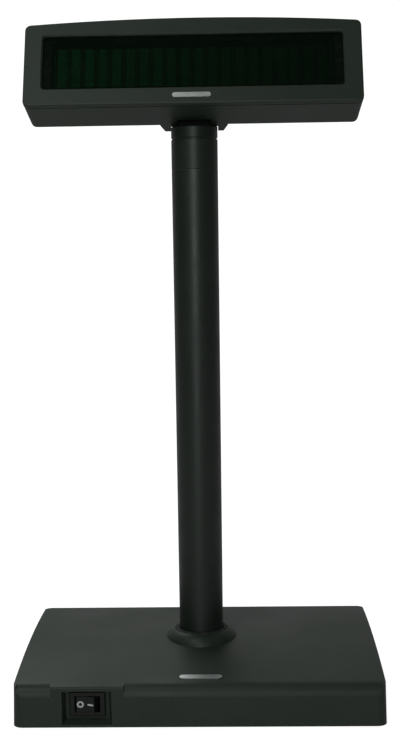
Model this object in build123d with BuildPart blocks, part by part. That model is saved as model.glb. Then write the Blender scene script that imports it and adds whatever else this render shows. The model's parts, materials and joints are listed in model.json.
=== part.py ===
"""A customer pole display: a weighted base, a pole, and a tilting, swivelling display head.

Frame: millimetres, +Z up, -Y is the customer's side, origin at the middle of the feet on the
counter. Lengths inside the head are given in its own frame: x across the face, t up the face
from its lower front edge, and depth n backwards from the face.
"""

from build123d import *
from math import atan2, cos, radians, sin, tan
import os

# ---------------------------------------------------------------- driving dimensions
FOOT_H = 2.0  # what the rubber feet lift the base by
BASE_W = 215.0
BASE_D = 139.4
BASE_CORNER_R = 6.0
BASE_DRAFT = 2.2  # degrees, side walls
BASE_FRONT_H = 23.9
BASE_MID_H = 31.2
BASE_REAR_H = 30.3
NOSE_R = 8.0  # rounded front top edge
EDGE_R = 1.4  # sharp edges of the base moulding
BASE_WALL = 2.4
CHEEK_W = 2.6  # unrounded strip at each end of the rounded front edge

POLE_Y = 5.3
POLE_R = 13.45
POLE_WALL = 1.5
BUSH_LOW_Z = 315.0
SEAM_Z = 332.0
COLLAR_TOP_Z = 339.0

HEAD_W = 191.0
HEAD_TILT = 27.0  # degrees back from upright, as stored
FACE_SIDE_H = 52.0
FACE_MID_H = 55.5
CREASE_Y = POLE_Y - 25.0
CREASE_Z = 350.2
BEZEL_T = 3.0
HEAD_D = 28.0
HEAD_WALL = 2.2
CHIN_DRAFT = 5.0  # degrees, underside of the rear cover

WINDOW_HALF_W = 85.0
WINDOW_LOW = 10.7
WINDOW_HIGH = 45.0

TILT_AXIS_Z = 356.0  # the tilt axis crosses the pole's axis
SHAFT_R = 2.5
KNUCKLE_R = 5.5

# ---------------------------------------------------------------- places worked out from them
BASE_FRONT_Y = -BASE_D / 2
BASE_REAR_Y = BASE_D / 2
PLATE_T = 1.5
PLATE_TOP = FOOT_H + PLATE_T
BALLAST_T = 5.0
BALLAST_TOP = PLATE_TOP + BALLAST_T
POLE_XY = (0, POLE_Y)

TILT = radians(HEAD_TILT)
HEAD = Plane(origin=(0, CREASE_Y, CREASE_Z), x_dir=(1, 0, 0), z_dir=(0, -cos(TILT), sin(TILT)))
AXIS_T = (POLE_Y - CREASE_Y) * sin(TILT) + (TILT_AXIS_Z - CREASE_Z) * cos(TILT)
AXIS_N = (POLE_Y - CREASE_Y) * cos(TILT) - (TILT_AXIS_Z - CREASE_Z) * sin(TILT)


def at_depth(n):
    """The plane parallel to the head's face, n behind it."""
    return HEAD.offset(-n)


def head_across(x):
    """A plane square to X at x, whose own axes are depth n and height t of the head."""
    origin = HEAD.from_local_coords(Vector(x, 0, 0))
    return Plane(origin=origin, x_dir=(0, cos(TILT), -sin(TILT)), z_dir=(1, 0, 0))


def save(piece, name):
    """Label a finished piece and write it as its own STEP file."""
    piece.part.label = name
    export_step(piece.part, f"parts/{name}.step")


def ring(low, high, outer, inner, centre=POLE_XY):
    """A plain upright ring."""
    with BuildPart() as made:
        with BuildSketch(Plane.XY.offset(low)):
            with Locations(centre):
                Circle(outer)
                Circle(inner, mode=Mode.SUBTRACT)
        extrude(amount=high - low)
    return made.part


def upright_screws(places, head_low, head_high, head_r, tip_z, shank_r, socket_from):
    """Upright machine screws with a hexagon socket in the face at socket_from."""
    depth = 0.6 * (head_high - head_low)
    into = -depth if socket_from == head_high else depth
    with BuildPart() as made:
        with BuildSketch(Plane.XY.offset(head_low)):
            with Locations(places):
                Circle(head_r)
        extrude(amount=head_high - head_low)
        start = head_low if tip_z < head_low else head_high
        with BuildSketch(Plane.XY.offset(start)):
            with Locations(places):
                Circle(shank_r)
        extrude(amount=tip_z - start)
        with BuildSketch(Plane.XY.offset(socket_from)):
            with Locations(places):
                RegularPolygon(0.5 * head_r, 6)
        extrude(amount=into, mode=Mode.SUBTRACT)
    return made


def head_screws(places, seat_n, head_t, head_r, shank, shank_r, driven_from=1):
    """Screws square to the face, driven from the back (1) or the front (-1), cross recessed."""
    back = -driven_from
    with BuildPart() as made:
        with BuildSketch(at_depth(seat_n)):
            with Locations(places):
                Circle(head_r)
        extrude(amount=back * head_t)
        with BuildSketch(at_depth(seat_n)):
            with Locations(places):
                Circle(shank_r)
        extrude(amount=-back * shank)
        with BuildSketch(at_depth(seat_n + driven_from * head_t)):
            with Locations(places):
                Rectangle(1.3 * head_r, 0.35 * head_r)
                Rectangle(0.35 * head_r, 1.3 * head_r)
        extrude(amount=-back * 0.5 * head_t, mode=Mode.SUBTRACT)
    return made


# ---------------------------------------------------------------- base moulding
def base_block(inset, nose_r):
    """The base's outer form, drawn in by inset, with its front top edge rounded to nose_r."""
    slope = tan(radians(BASE_DRAFT))
    below = 3 * inset  # an inner block runs out through the open underside
    low = FOOT_H - below
    front = BASE_FRONT_Y + inset - 0.02  # just outside the moulding's drafted front wall
    rear = BASE_REAR_Y - inset
    front_top = (front + BASE_FRONT_H * slope, FOOT_H + BASE_FRONT_H - inset)
    rear_top = (rear + 1, FOOT_H + BASE_REAR_H - inset)
    with BuildPart() as block:
        with BuildSketch(Plane.XY.offset(low)):
            RectangleRounded(
                BASE_W - 2 * inset + 2 * below * slope,
                BASE_D - 2 * inset + 2 * below * slope,
                BASE_CORNER_R - inset,
            )
        extrude(amount=60, taper=BASE_DRAFT)
        with BuildSketch(Plane.YZ) as side:
            with BuildLine():
                Polyline(front_top, (front - below * slope, low), (rear + 1, low), rear_top)
                ThreePointArc(rear_top, (0, FOOT_H + BASE_MID_H - inset), front_top)
            make_face()
            fillet(side.vertices().sort_by_distance(Vector(*front_top))[0], nose_r)
        extrude(amount=BASE_W, both=True, mode=Mode.INTERSECT)
    return block.part


SWITCH_X = -64.4
SWITCH_Z = FOOT_H + 12.4
NOSE_LEFT, NOSE_RIGHT = -85.2, -43.2
RECESS_D = 6.0
RECESS_W = 29.0
RECESS_TOP = FOOT_H + 21.4
RECESS_FLOOR = FOOT_H + 3.4
RECESS_LIP = FOOT_H + 1.6
BEZEL_FACE_Y = BASE_FRONT_Y + RECESS_D - 1.6

BAY_LEFT, BAY_RIGHT = 22.0, 84.0
BAY_LOW, BAY_HIGH = 12.5, 27.2
BAY_D = 11.2
BAY_WALL_Y = BASE_REAR_Y - BAY_D
BOARD_Z = 12.0
BOARD_T = 1.6
BOARD_TOP = BOARD_Z + BOARD_T
PORT_X = 41.0
PORT_Z = BOARD_TOP + 6.4
JACK_X = 71.0
JACK_Z = BOARD_TOP + 6.2

COVER_BOSSES = [(x, y) for x in (-95, 95) for y in (-59, 59)]
BOSS_R = 4.2
BOSS_TOP_Z = 38.4
FOOT_RING_LOW = 36.4


def slab(low, high):
    """A plain block between two corners."""
    middle = [(a + b) / 2 for a, b in zip(low, high)]
    with BuildPart() as made:
        with Locations(tuple(middle)):
            Box(*[b - a for a, b in zip(low, high)])
    return made.part


def recess_form(grow):
    """The switch recess, open at the front and through its bottom lip; grown, it is its wall."""
    back_y = BASE_FRONT_Y + RECESS_D + grow
    front_y = BASE_FRONT_Y - 4
    with BuildPart() as form:
        with BuildSketch(Plane.YZ.offset(SWITCH_X - RECESS_W / 2 - grow)):
            Polygon(
                (front_y, RECESS_TOP + grow),
                (back_y, RECESS_TOP + grow),
                (back_y, RECESS_FLOOR - grow),
                (BASE_FRONT_Y + 0.8, RECESS_LIP - grow),
                (front_y, RECESS_LIP - grow),
                align=None,
            )
        extrude(amount=RECESS_W + 2 * grow)
        with BuildSketch(Plane.XY.offset(FOOT_H - 4)):
            Polygon(
                (SWITCH_X - RECESS_W / 2 - grow - 1.3, front_y),
                (SWITCH_X + RECESS_W / 2 + grow + 1.3, front_y),
                (SWITCH_X + RECESS_W / 2 + grow - 2.0, back_y),
                (SWITCH_X - RECESS_W / 2 - grow + 2.0, back_y),
                align=None,
            )
        extrude(amount=40, mode=Mode.INTERSECT)
    return form.part


def base_inner_walls():
    """Walls, bosses and the pole guide that stand inside the shell, trimmed to its outer form."""
    with BuildPart() as walls:
        add(recess_form(BASE_WALL))
        add(
            slab(
                (BAY_LEFT - BASE_WALL, BAY_WALL_Y - BASE_WALL, BAY_LOW - BASE_WALL),
                (BAY_RIGHT + BASE_WALL, BASE_REAR_Y, BAY_HIGH + BASE_WALL),
            )
        )
        for place in COVER_BOSSES:
            add(ring(PLATE_TOP + 0.1, 40, BOSS_R, 1.5, place))
        add(ring(23, 36, POLE_R + 3.6, POLE_R))
        add(base_block(0.6, NOSE_R - 0.6), mode=Mode.INTERSECT)
        add(slab((-BASE_W, -BASE_D, FOOT_H), (BASE_W, BASE_D, 60)), mode=Mode.INTERSECT)
    return walls.part


def make_base_cover():
    """The moulded top of the base: shell, switch recess, connector bay, pole mound and bosses."""
    sharp = base_block(0, EDGE_R)
    walls = base_inner_walls()
    with BuildPart() as cover:
        add(base_block(0, NOSE_R))
        add(sharp & slab((NOSE_LEFT, -90, -10), (NOSE_RIGHT, 90, 60)))
        for side in (-1, 1):
            inner = side * (BASE_W / 2 - CHEEK_W)
            outer = side * BASE_W
            add(sharp & slab((min(inner, outer), -90, -10), (max(inner, outer), 90, 60)))
        with BuildSketch(Plane.XZ.offset(-POLE_Y)):
            with BuildLine():
                Polyline((0, BOSS_TOP_Z), (0, 30), (22.4, 30))
                ThreePointArc((22.4, 30), (20.4, 35.6), (16.6, BOSS_TOP_Z))
                Line((16.6, BOSS_TOP_Z), (0, BOSS_TOP_Z))
            make_face()
        revolve(axis=Axis((0, POLE_Y, 0), (0, 0, 1)))
        add(base_block(BASE_WALL, NOSE_R - BASE_WALL), mode=Mode.SUBTRACT)
        add(walls)
        add(recess_form(0), mode=Mode.SUBTRACT)
        add(slab((BAY_LEFT, BAY_WALL_Y, BAY_LOW), (BAY_RIGHT, 90, BAY_HIGH)), mode=Mode.SUBTRACT)
        # openings: switch body, serial port, power jack, pole and its foot ring
        with BuildSketch(Plane.XZ.offset(-BASE_FRONT_Y)):
            with Locations((SWITCH_X, SWITCH_Z)):
                Rectangle(19.2, 12.8)
        extrude(amount=-20, mode=Mode.SUBTRACT)
        with BuildSketch(Plane.XZ.offset(-BAY_WALL_Y)):
            with Locations((PORT_X, PORT_Z)):
                Rectangle(20.4, 11.2)
            with Locations((PORT_X - 12.5, PORT_Z), (PORT_X + 12.5, PORT_Z)):
                Circle(2.7)
            with Locations((JACK_X, JACK_Z)):
                Rectangle(9.4, 11.4)
        extrude(amount=6, mode=Mode.SUBTRACT)
        with BuildSketch(Plane.XY.offset(15)):
            with Locations(POLE_XY):
                Circle(POLE_R + 0.12)
        extrude(amount=30, mode=Mode.SUBTRACT)
        with BuildSketch(Plane.XY.offset(FOOT_RING_LOW)):
            with Locations(POLE_XY):
                Circle(16.35)
        extrude(amount=10, mode=Mode.SUBTRACT)
    return cover


# ---------------------------------------------------------------- base internals
FEET = [(x, y) for x in (-82, 82) for y in (-50, 50)]
BALLAST_SCREWS = [(x, y) for x in (-66, 66) for y in (-36, 26)]
FLANGE_R = 30.0
FLANGE_T = 3.0
FLANGE_TOP = BALLAST_TOP + FLANGE_T
BOARD_LEFT, BOARD_RIGHT = -16.0, 88.0
BOARD_NEAR, BOARD_FAR = 37.0, 55.6
BOARD_HOLES = [(x, y) for x in (-9, 85) for y in (40.2, 52.4)]


def flange_places():
    """The four screw places round the pole flange."""
    half = 23 * cos(radians(45))
    return [(x, POLE_Y + y) for x in (-half, half) for y in (-half, half)]


def make_base_plate():
    """Sheet steel floor that closes the base."""
    with BuildPart() as plate:
        with BuildSketch(Plane.XY.offset(FOOT_H)):
            RectangleRounded(BASE_W - 2 * BASE_WALL - 0.5, BASE_D - 2 * BASE_WALL - 0.5, 3.4)
            with Locations(COVER_BOSSES):
                Circle(1.7, mode=Mode.SUBTRACT)
            with Locations(BALLAST_SCREWS):
                Circle(2.1, mode=Mode.SUBTRACT)
            with Locations((SWITCH_X, BASE_FRONT_Y)):
                Rectangle(RECESS_W + 8, 18, mode=Mode.SUBTRACT)
        extrude(amount=PLATE_T)
    return plate


def make_ballast():
    """Steel weight that keeps the tall display from tipping."""
    with BuildPart() as weight:
        with BuildSketch(Plane.XY.offset(PLATE_TOP)):
            with Locations((0, -5)):
                RectangleRounded(172, 80, 5)
            with Locations(BALLAST_SCREWS):
                Circle(1.75, mode=Mode.SUBTRACT)
            with Locations(flange_places()):
                Circle(1.75, mode=Mode.SUBTRACT)
        extrude(amount=BALLAST_T)
        top_edges = weight.edges().group_by(Axis.Z)[-1].filter_by(GeomType.CIRCLE, reverse=True)
        chamfer(top_edges, 0.6)
    return weight


def make_feet():
    """Four rubber feet, slightly domed at the rim."""
    with BuildPart() as feet:
        with BuildSketch(Plane.XY):
            with Locations(FEET):
                Circle(8)
        extrude(amount=FOOT_H)
        chamfer(feet.edges().group_by(Axis.Z)[0], 0.5)
    return feet


def make_board():
    """Interface board carrying the serial port, the power jack and the level shifter."""
    with BuildPart() as board:
        with BuildSketch(Plane.XY.offset(BOARD_Z)):
            with Locations(((BOARD_LEFT + BOARD_RIGHT) / 2, (BOARD_NEAR + BOARD_FAR) / 2)):
                RectangleRounded(BOARD_RIGHT - BOARD_LEFT, BOARD_FAR - BOARD_NEAR, 1.5)
            with Locations(BOARD_HOLES):
                Circle(1.6, mode=Mode.SUBTRACT)
        extrude(amount=BOARD_T)
    return board


def make_board_parts():
    """Soldered parts of the interface board, one group of solids for each kind."""
    with BuildPart() as chips:
        for x, y, wide, deep, tall in ((14, 46, 7.6, 10.2, 2.3), (57, 46, 5.2, 6.4, 1.6)):
            with Locations((x, y, BOARD_TOP + tall / 2)):
                Box(wide, deep, tall)
        chamfer(chips.faces().sort_by(Axis.Z)[-1].edges(), 0.3)
    with BuildPart() as legs:
        for x, y, wide, deep, count in ((14, 46, 7.6, 10.2, 8), (57, 46, 5.2, 6.4, 4)):
            for side in (-1, 1):
                with BuildSketch(Plane.XY.offset(BOARD_TOP)):
                    with Locations((x + side * (wide / 2 + 0.7), y)):
                        with GridLocations(1, deep / count, 1, count):
                            Rectangle(1.3, 0.45)
                extrude(amount=0.5)
    with BuildPart() as capacitors:
        with BuildSketch(Plane.XY.offset(BOARD_TOP)):
            with Locations((25.5, 41.5), (25.5, 50.5)):
                Circle(3.2)
        extrude(amount=9)
        fillet(capacitors.edges().group_by(Axis.Z)[-1], 0.5)
    return chips, legs, capacitors


def make_wire_headers():
    """Boxed headers on the interface board for the display cable and the switch leads."""
    with BuildPart() as headers:
        for centre, wide in (((0, 46.8), 12), ((-12, 46.3), 5.8)):
            with Locations((*centre, BOARD_TOP + 3.4)):
                Box(wide, 6, 6.8)
        chamfer(headers.edges().group_by(Axis.Z)[-1], 0.6)
    return headers


def d_outline(width, height, corner):
    """The D of a nine-way connector: wider at the top, rounded at its corners."""
    half = width / 2
    lean = height * tan(radians(10))
    with BuildSketch() as outline:
        Polygon(
            (-half + lean, -height / 2), (half - lean, -height / 2), (half, height / 2),
            (-half, height / 2), align=None,
        )
        fillet(outline.vertices(), corner)
    return outline.sketch


def make_serial_port():
    """Nine-way serial port: steel shell and flange, insulator, contacts and two jack screws."""
    at_port = Plane(origin=(PORT_X, BAY_WALL_Y, PORT_Z), x_dir=(-1, 0, 0), z_dir=(0, 1, 0))
    ears = ((-12.5, 0), (12.5, 0))
    with BuildPart() as shell:
        with BuildSketch(at_port):
            RectangleRounded(30.8, 12.5, 1.5)
            with Locations(ears):
                Circle(1.6, mode=Mode.SUBTRACT)
            add(d_outline(16.0, 7.4, 2.2), mode=Mode.SUBTRACT)
        extrude(amount=0.9)
        with BuildSketch(at_port):
            add(d_outline(16.9, 8.3, 2.6))
            add(d_outline(16.0, 7.4, 2.2), mode=Mode.SUBTRACT)
        extrude(amount=6.4)
    with BuildPart() as insert:
        with BuildSketch(at_port):
            add(d_outline(15.9, 7.3, 2.1))
        extrude(amount=5.6)
        with BuildSketch(at_port):
            Rectangle(20.0, 10.8)
        extrude(amount=-9)
        with BuildSketch(at_port.offset(5.6)):
            with Locations((0, 1.42)):
                with GridLocations(2.77, 1, 5, 1):
                    Circle(0.62)
            with Locations((0, -1.42)):
                with GridLocations(2.77, 1, 4, 1):
                    Circle(0.62)
        extrude(amount=-5.0, mode=Mode.SUBTRACT)
    with BuildPart() as contacts:
        with BuildSketch(at_port.offset(0.7)):
            with Locations((0, 1.42)):
                with GridLocations(2.77, 1, 5, 1):
                    Circle(0.55)
                    Circle(0.35, mode=Mode.SUBTRACT)
            with Locations((0, -1.42)):
                with GridLocations(2.77, 1, 4, 1):
                    Circle(0.55)
                    Circle(0.35, mode=Mode.SUBTRACT)
        extrude(amount=4.4)
    with BuildPart() as jackscrews:
        with BuildSketch(at_port.offset(0.9)):
            with Locations(ears):
                RegularPolygon(2.7, 6)
        extrude(amount=5.0)
        with BuildSketch(at_port.offset(0.9)):
            with Locations(ears):
                Circle(1.5)
        extrude(amount=-6.0)
        with BuildSketch(at_port.offset(5.9)):
            with Locations(ears):
                Circle(1.25)
        extrude(amount=-5.0, mode=Mode.SUBTRACT)
    return shell, insert, contacts, jackscrews


def make_power_jack():
    """Barrel jack body with its bore, and the centre pin inside it."""
    mouth = Plane(origin=(JACK_X, BAY_WALL_Y + 0.6, JACK_Z), x_dir=(-1, 0, 0), z_dir=(0, 1, 0))
    with BuildPart() as body:
        with BuildSketch(mouth):
            Rectangle(9.0, 11.0)
        extrude(amount=-13.6)
        with BuildSketch(mouth):
            Circle(2.9)
        extrude(amount=-9.5, mode=Mode.SUBTRACT)
        chamfer(body.faces().sort_by(Axis.Y)[-1].edges().filter_by(GeomType.LINE), 0.4)
    with BuildPart() as pin:
        with BuildSketch(mouth.offset(-9.5)):
            Circle(1.0)
        extrude(amount=8.5)
        fillet(pin.faces().sort_by(Axis.Y)[-1].edges(), 0.4)
    return body, pin


# ---------------------------------------------------------------- power switch
SWITCH_TRAVEL = 20.0  # degrees between the two latched positions
PIVOT_Y = BEZEL_FACE_Y + 5.0
ROCKER_H = 9.3


def switch_plane(swing):
    """Square to the rocker's pivot: x along the switch, y out of it; turned by swing degrees."""
    turn = radians(swing)
    return Plane(
        origin=(SWITCH_X, PIVOT_Y, SWITCH_Z), x_dir=(cos(turn), sin(turn), 0), z_dir=(0, 0, -1)
    )


def make_switch():
    """Snap-in rocker switch: housing with bezel, rocker, printed marks and two blade terminals."""
    face = Plane.XZ.offset(-BEZEL_FACE_Y)
    rest = switch_plane(-SWITCH_TRAVEL / 2)
    with BuildPart() as housing:
        with BuildSketch(face):
            with Locations((SWITCH_X, SWITCH_Z)):
                RectangleRounded(20.8, 14.8, 0.8)
        extrude(amount=-1.6)
        chamfer(housing.faces().sort_by(Axis.Y)[0].edges(), 0.5)
        with BuildSketch(face):
            with Locations((SWITCH_X, SWITCH_Z)):
                Rectangle(18.8, 12.4)
        extrude(amount=-14)
        with BuildSketch(face):
            with Locations((SWITCH_X, SWITCH_Z)):
                Rectangle(14.8, 9.8)
        extrude(amount=-8, mode=Mode.SUBTRACT)
        with BuildSketch(switch_plane(0)):
            Circle(1.0)
        extrude(amount=5.6, both=True, mode=Mode.SUBTRACT)
        with BuildSketch(switch_plane(0)):
            Circle(7.25)
        extrude(amount=4.9, both=True, mode=Mode.SUBTRACT)
    corner = (8.2 * cos(radians(50)), 8.2 * sin(radians(50)))
    with BuildPart() as rocker:
        with BuildSketch(rest) as section:
            with BuildLine():
                Polyline((-7.0, 0.6), (-corner[0], corner[1]), (0, 5.2), corner, (7.0, 0.6))
                ThreePointArc((7.0, 0.6), (0, -2.2), (-7.0, 0.6))
            make_face()
            fillet(section.vertices().sort_by_distance(rest.from_local_coords((0, 5.2)))[0], 6)
        extrude(amount=ROCKER_H / 2, both=True)
        with BuildSketch(rest):
            Circle(0.94)
        extrude(amount=5.5, both=True)
    facet = atan2(corner[1] - 5.2, corner[0])
    with BuildPart() as marks:
        for side in (-1, 1):
            foot = rest.from_local_coords(Vector(side * 3.0, 5.2 + 3.0 * tan(facet) + 0.02, 0))
            lean = radians(-SWITCH_TRAVEL / 2) + side * facet * -1
            along = Vector(cos(lean), sin(lean), 0)
            normal = Vector(sin(lean), -cos(lean), 0)
            with BuildSketch(Plane(origin=foot, x_dir=along, z_dir=normal)):
                if side < 0:
                    Circle(2.0)
                    Circle(1.05, mode=Mode.SUBTRACT)
                else:
                    SlotOverall(3.8, 1.0)
            extrude(amount=0.08)
    with BuildPart() as terminals:
        for x in (-4, 4):
            with Locations((SWITCH_X + x, BEZEL_FACE_Y + 14 + 3.2, SWITCH_Z)):
                Box(0.8, 6.4, 4.8)
    return housing, rocker, marks, terminals


# ---------------------------------------------------------------- pole
def make_pole():
    """Powder-coated steel tube, with a slot near its foot that lets the cable in."""
    with BuildPart() as tube:
        add(ring(BALLAST_TOP, BUSH_LOW_Z, POLE_R, POLE_R - POLE_WALL))
        with BuildSketch(Plane.XZ.offset(-POLE_Y)):
            with Locations((0, 17.5)):
                SlotOverall(10, 8, rotation=90)
        extrude(amount=-20, mode=Mode.SUBTRACT)
    return tube


def make_flange():
    """Steel flange welded round the foot of the tube and screwed to the weight."""
    with BuildPart() as flange:
        with BuildSketch(Plane.XY.offset(BALLAST_TOP)):
            with Locations(POLE_XY):
                Circle(FLANGE_R)
                Circle(POLE_R + 0.02, mode=Mode.SUBTRACT)
            with Locations(flange_places()):
                Circle(2.2, mode=Mode.SUBTRACT)
        extrude(amount=FLANGE_T)
        chamfer(flange.edges().group_by(Axis.Z)[-1].sort_by(SortBy.LENGTH)[-1], 0.8)
    return flange


def make_foot_ring():
    """Soft ring that fills the gap between the pole and the mound of the base."""
    with BuildPart() as collar:
        with BuildSketch(Plane.XZ.offset(-POLE_Y)):
            with BuildLine():
                Polyline((16.25, FOOT_RING_LOW), (13.6, FOOT_RING_LOW), (13.6, 38.6))
                Line((13.6, 38.6), (14.0, 39.0))
                ThreePointArc((14.0, 39.0), (15.6, 38.75), (16.25, 38.0))
                Line((16.25, 38.0), (16.25, FOOT_RING_LOW))
            make_face()
        revolve(axis=Axis((0, POLE_Y, 0), (0, 0, 1)))
    return collar


SPIGOT_R = 10.44
SPIGOT_LOW = 306.0
BUSH_BORE_R = 10.5
STOP_Z = 323.0
STOP_SWING = 165.0
STOP_TIP_R = 1.2


def make_bush():
    """Plastic bush in the top of the tube: the bearing of the swivel."""
    with BuildPart() as bush:
        add(ring(BUSH_LOW_Z, SEAM_Z, POLE_R, BUSH_BORE_R))
        add(ring(BUSH_LOW_Z - 6, BUSH_LOW_Z, POLE_R - POLE_WALL - 0.1, BUSH_BORE_R))
        outer_rims = bush.edges().filter_by(GeomType.CIRCLE).sort_by(SortBy.RADIUS)[-2:]
        chamfer(outer_rims, 0.35)
        with BuildSketch(Plane.XZ.offset(-POLE_Y - 20)):
            with Locations((0, STOP_Z)):
                Circle(1.55)
        extrude(amount=12, mode=Mode.SUBTRACT)
    return bush


def make_stop_screw():
    """Set screw whose tip rides in the spigot's groove and ends the swivel's travel."""
    with BuildPart() as screw:
        with BuildSketch(Plane.XZ.offset(-POLE_Y - 13.2)):
            with Locations((0, STOP_Z)):
                Circle(1.5)
        extrude(amount=2.6)
        with BuildSketch(Plane.XZ.offset(-POLE_Y - 10.6)):
            with Locations((0, STOP_Z)):
                Circle(STOP_TIP_R)
        extrude(amount=1.2)
        with BuildSketch(Plane.XZ.offset(-POLE_Y - 13.2)):
            with Locations((0, STOP_Z)):
                RegularPolygon(0.8, 6)
        extrude(amount=1.2, mode=Mode.SUBTRACT)
    return screw


# ---------------------------------------------------------------- neck
STEM_HALF_W = 9.5
STEM_FRONT, STEM_REAR = 1.2, 9.5
CABLE_R = 1.8
DUCT_Y = POLE_Y + 5.6
CRADLE_H = 2.0
APRON_HALF_W = 12.9
SLOT_EDGE_N = 28.4  # front edge of the wide slot in the head's underside
SLOT_SWEEP_R = 16.55  # that edge's distance from the tilt axis


def collar_rise():
    """Cradle and rear apron above the collar, which close the slot in the head's underside."""
    with BuildPart() as rise:
        with BuildSketch(Plane.XY.offset(COLLAR_TOP_Z - 1)):
            with Locations(POLE_XY):
                Circle(POLE_R)
            with Locations((0, POLE_Y - POLE_R)):
                Rectangle(2 * POLE_R, 2 * POLE_R, mode=Mode.SUBTRACT)
        extrude(amount=CRADLE_H + 1)
        with BuildSketch(Plane.YZ):
            with Locations((POLE_Y, TILT_AXIS_Z)):
                Circle(SLOT_SWEEP_R + 0.3)
        extrude(amount=POLE_R, both=True, mode=Mode.SUBTRACT)
        add(
            slab(
                (-APRON_HALF_W, POLE_Y + 9.1, COLLAR_TOP_Z + 0.2),
                (APRON_HALF_W, POLE_Y + 12.6, COLLAR_TOP_Z + 8),
            )
        )
    return rise.part


def make_neck():
    """Die-cast neck: collar and spigot of the swivel, stem and split knuckle of the tilt hinge."""
    axis_yz = (POLE_Y, TILT_AXIS_Z)
    stop_rib = 7.0
    with BuildPart() as neck:
        with BuildSketch(Plane.XY.offset(SPIGOT_LOW)):
            with Locations(POLE_XY):
                Circle(SPIGOT_R)
        extrude(amount=SEAM_Z + 0.5 - SPIGOT_LOW)
        with BuildSketch(Plane.XY.offset(SEAM_Z + 0.5)):
            with Locations(POLE_XY):
                Circle(POLE_R)
        extrude(amount=COLLAR_TOP_Z - SEAM_Z - 0.5)
        rims = neck.edges().filter_by(GeomType.CIRCLE).filter_by_position(
            Axis.Z, SEAM_Z + 0.4, COLLAR_TOP_Z + 1
        )
        chamfer(rims.sort_by(SortBy.RADIUS)[-2:], 0.4)
        with BuildSketch(Plane.YZ):
            with BuildLine():
                Polyline(
                    (POLE_Y + STEM_FRONT, COLLAR_TOP_Z - 1),
                    (POLE_Y + STEM_REAR, COLLAR_TOP_Z - 1),
                    (POLE_Y + STEM_REAR, TILT_AXIS_Z - 6),
                    (POLE_Y + KNUCKLE_R * cos(radians(40)), TILT_AXIS_Z + KNUCKLE_R * sin(radians(40))),
                    axis_yz,
                    (POLE_Y - KNUCKLE_R, TILT_AXIS_Z),
                    (POLE_Y + STEM_FRONT, TILT_AXIS_Z - 9),
                    close=True,
                )
            make_face()
            with Locations(axis_yz):
                Circle(KNUCKLE_R)
        extrude(amount=STEM_HALF_W, both=True)
        add(collar_rise())
        # gap between the two halves of the knuckle, for the cable
        with BuildSketch(Plane.YZ):
            with Locations((POLE_Y, TILT_AXIS_Z - 7 + 15)):
                Rectangle(40, 30)
        extrude(amount=3, both=True, mode=Mode.SUBTRACT)
        with BuildSketch(Plane.YZ):
            with Locations(axis_yz):
                Circle(SHAFT_R + 0.05)
        extrude(amount=20, both=True, mode=Mode.SUBTRACT)
        # cable way: a bore in the spigot, then a duct up the stem
        with BuildSketch(Plane.XY.offset(SPIGOT_LOW)):
            with Locations(POLE_XY):
                Circle(8.4)
        extrude(amount=25, mode=Mode.SUBTRACT)
        with BuildSketch(Plane.XY.offset(SPIGOT_LOW + 25)):
            with Locations((0, DUCT_Y)):
                Circle(2.3)
        extrude(amount=20, mode=Mode.SUBTRACT)
        # stop groove, broken by one rib at the front, and the groove of the retaining ring
        with BuildSketch(Plane.XY.offset(STOP_Z - 1.6)):
            with BuildLine():
                start = radians(-90 + stop_rib)
                end = radians(270 - stop_rib)
                for radius in (9.2, SPIGOT_R + 1):
                    ThreePointArc(
                        (radius * cos(start), POLE_Y + radius * sin(start)),
                        (0, POLE_Y + radius),
                        (radius * cos(end), POLE_Y + radius * sin(end)),
                    )
                for angle in (start, end):
                    Line(
                        (9.2 * cos(angle), POLE_Y + 9.2 * sin(angle)),
                        (
                            (SPIGOT_R + 1) * cos(angle),
                            POLE_Y + (SPIGOT_R + 1) * sin(angle),
                        ),
                    )
            make_face()
        extrude(amount=3.2, mode=Mode.SUBTRACT)
        add(ring(SPIGOT_LOW + 1.2, SPIGOT_LOW + 2.3, SPIGOT_R + 1, 9.6), mode=Mode.SUBTRACT)
    return neck


def make_retaining_ring():
    """Open snap ring that keeps the spigot in the bush."""
    with BuildPart() as clip:
        add(ring(SPIGOT_LOW + 1.25, SPIGOT_LOW + 2.25, 11.7, 9.65))
        with Locations((0, POLE_Y - 10, SPIGOT_LOW + 1.75)):
            Box(4, 6, 3, mode=Mode.SUBTRACT)
    return clip


def make_swivel_washer():
    """Low-friction washer in the seam of the swivel."""
    with BuildPart() as washer:
        add(ring(SEAM_Z + 0.02, SEAM_Z + 0.48, 12.9, 10.7))
    return washer


# ---------------------------------------------------------------- display head
CASE_SCREWS = [(x, t) for x in (-88.5, 88.5) for t in (6.5, 45.5)]
BRACKET_SCREWS = [(x, t) for x in (-29, 29) for t in (29.5, 37)]
END_POSTS = [(-89.2, 26.0), (89.2, 26.0)]
BRACKET_N, BRACKET_T = 22.2, 1.6  # front and thickness of the hinge bracket's plate
HUMP_D = 34.0
HUMP_HALF_W = 19.5
HUMP_REAR_HALF_W = 17.0
HUMP_TOP = 34.0
STEM_SLOT_HALF_W = 9.85
CHEEK_IN = 13.75
LIP_OUT = 2.5  # from the outer side of the bezel to its locating lip
SIDE_DRAW_IN = 1.3  # how much narrower each side of the rear cover is at its back


def face_outline(draw_in, low, corner):
    """The head's outline, drawn in: straight sides, foot at low, arched top, rounded corners."""
    half_w = HEAD_W / 2 - draw_in
    side_h = FACE_SIDE_H - draw_in
    with BuildSketch() as outline:
        with BuildLine():
            Polyline((half_w, side_h), (half_w, low), (-half_w, low), (-half_w, side_h))
            ThreePointArc((-half_w, side_h), (0, FACE_MID_H - draw_in), (half_w, side_h))
        make_face()
        fillet(outline.vertices(), corner)
    return outline.sketch


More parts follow.
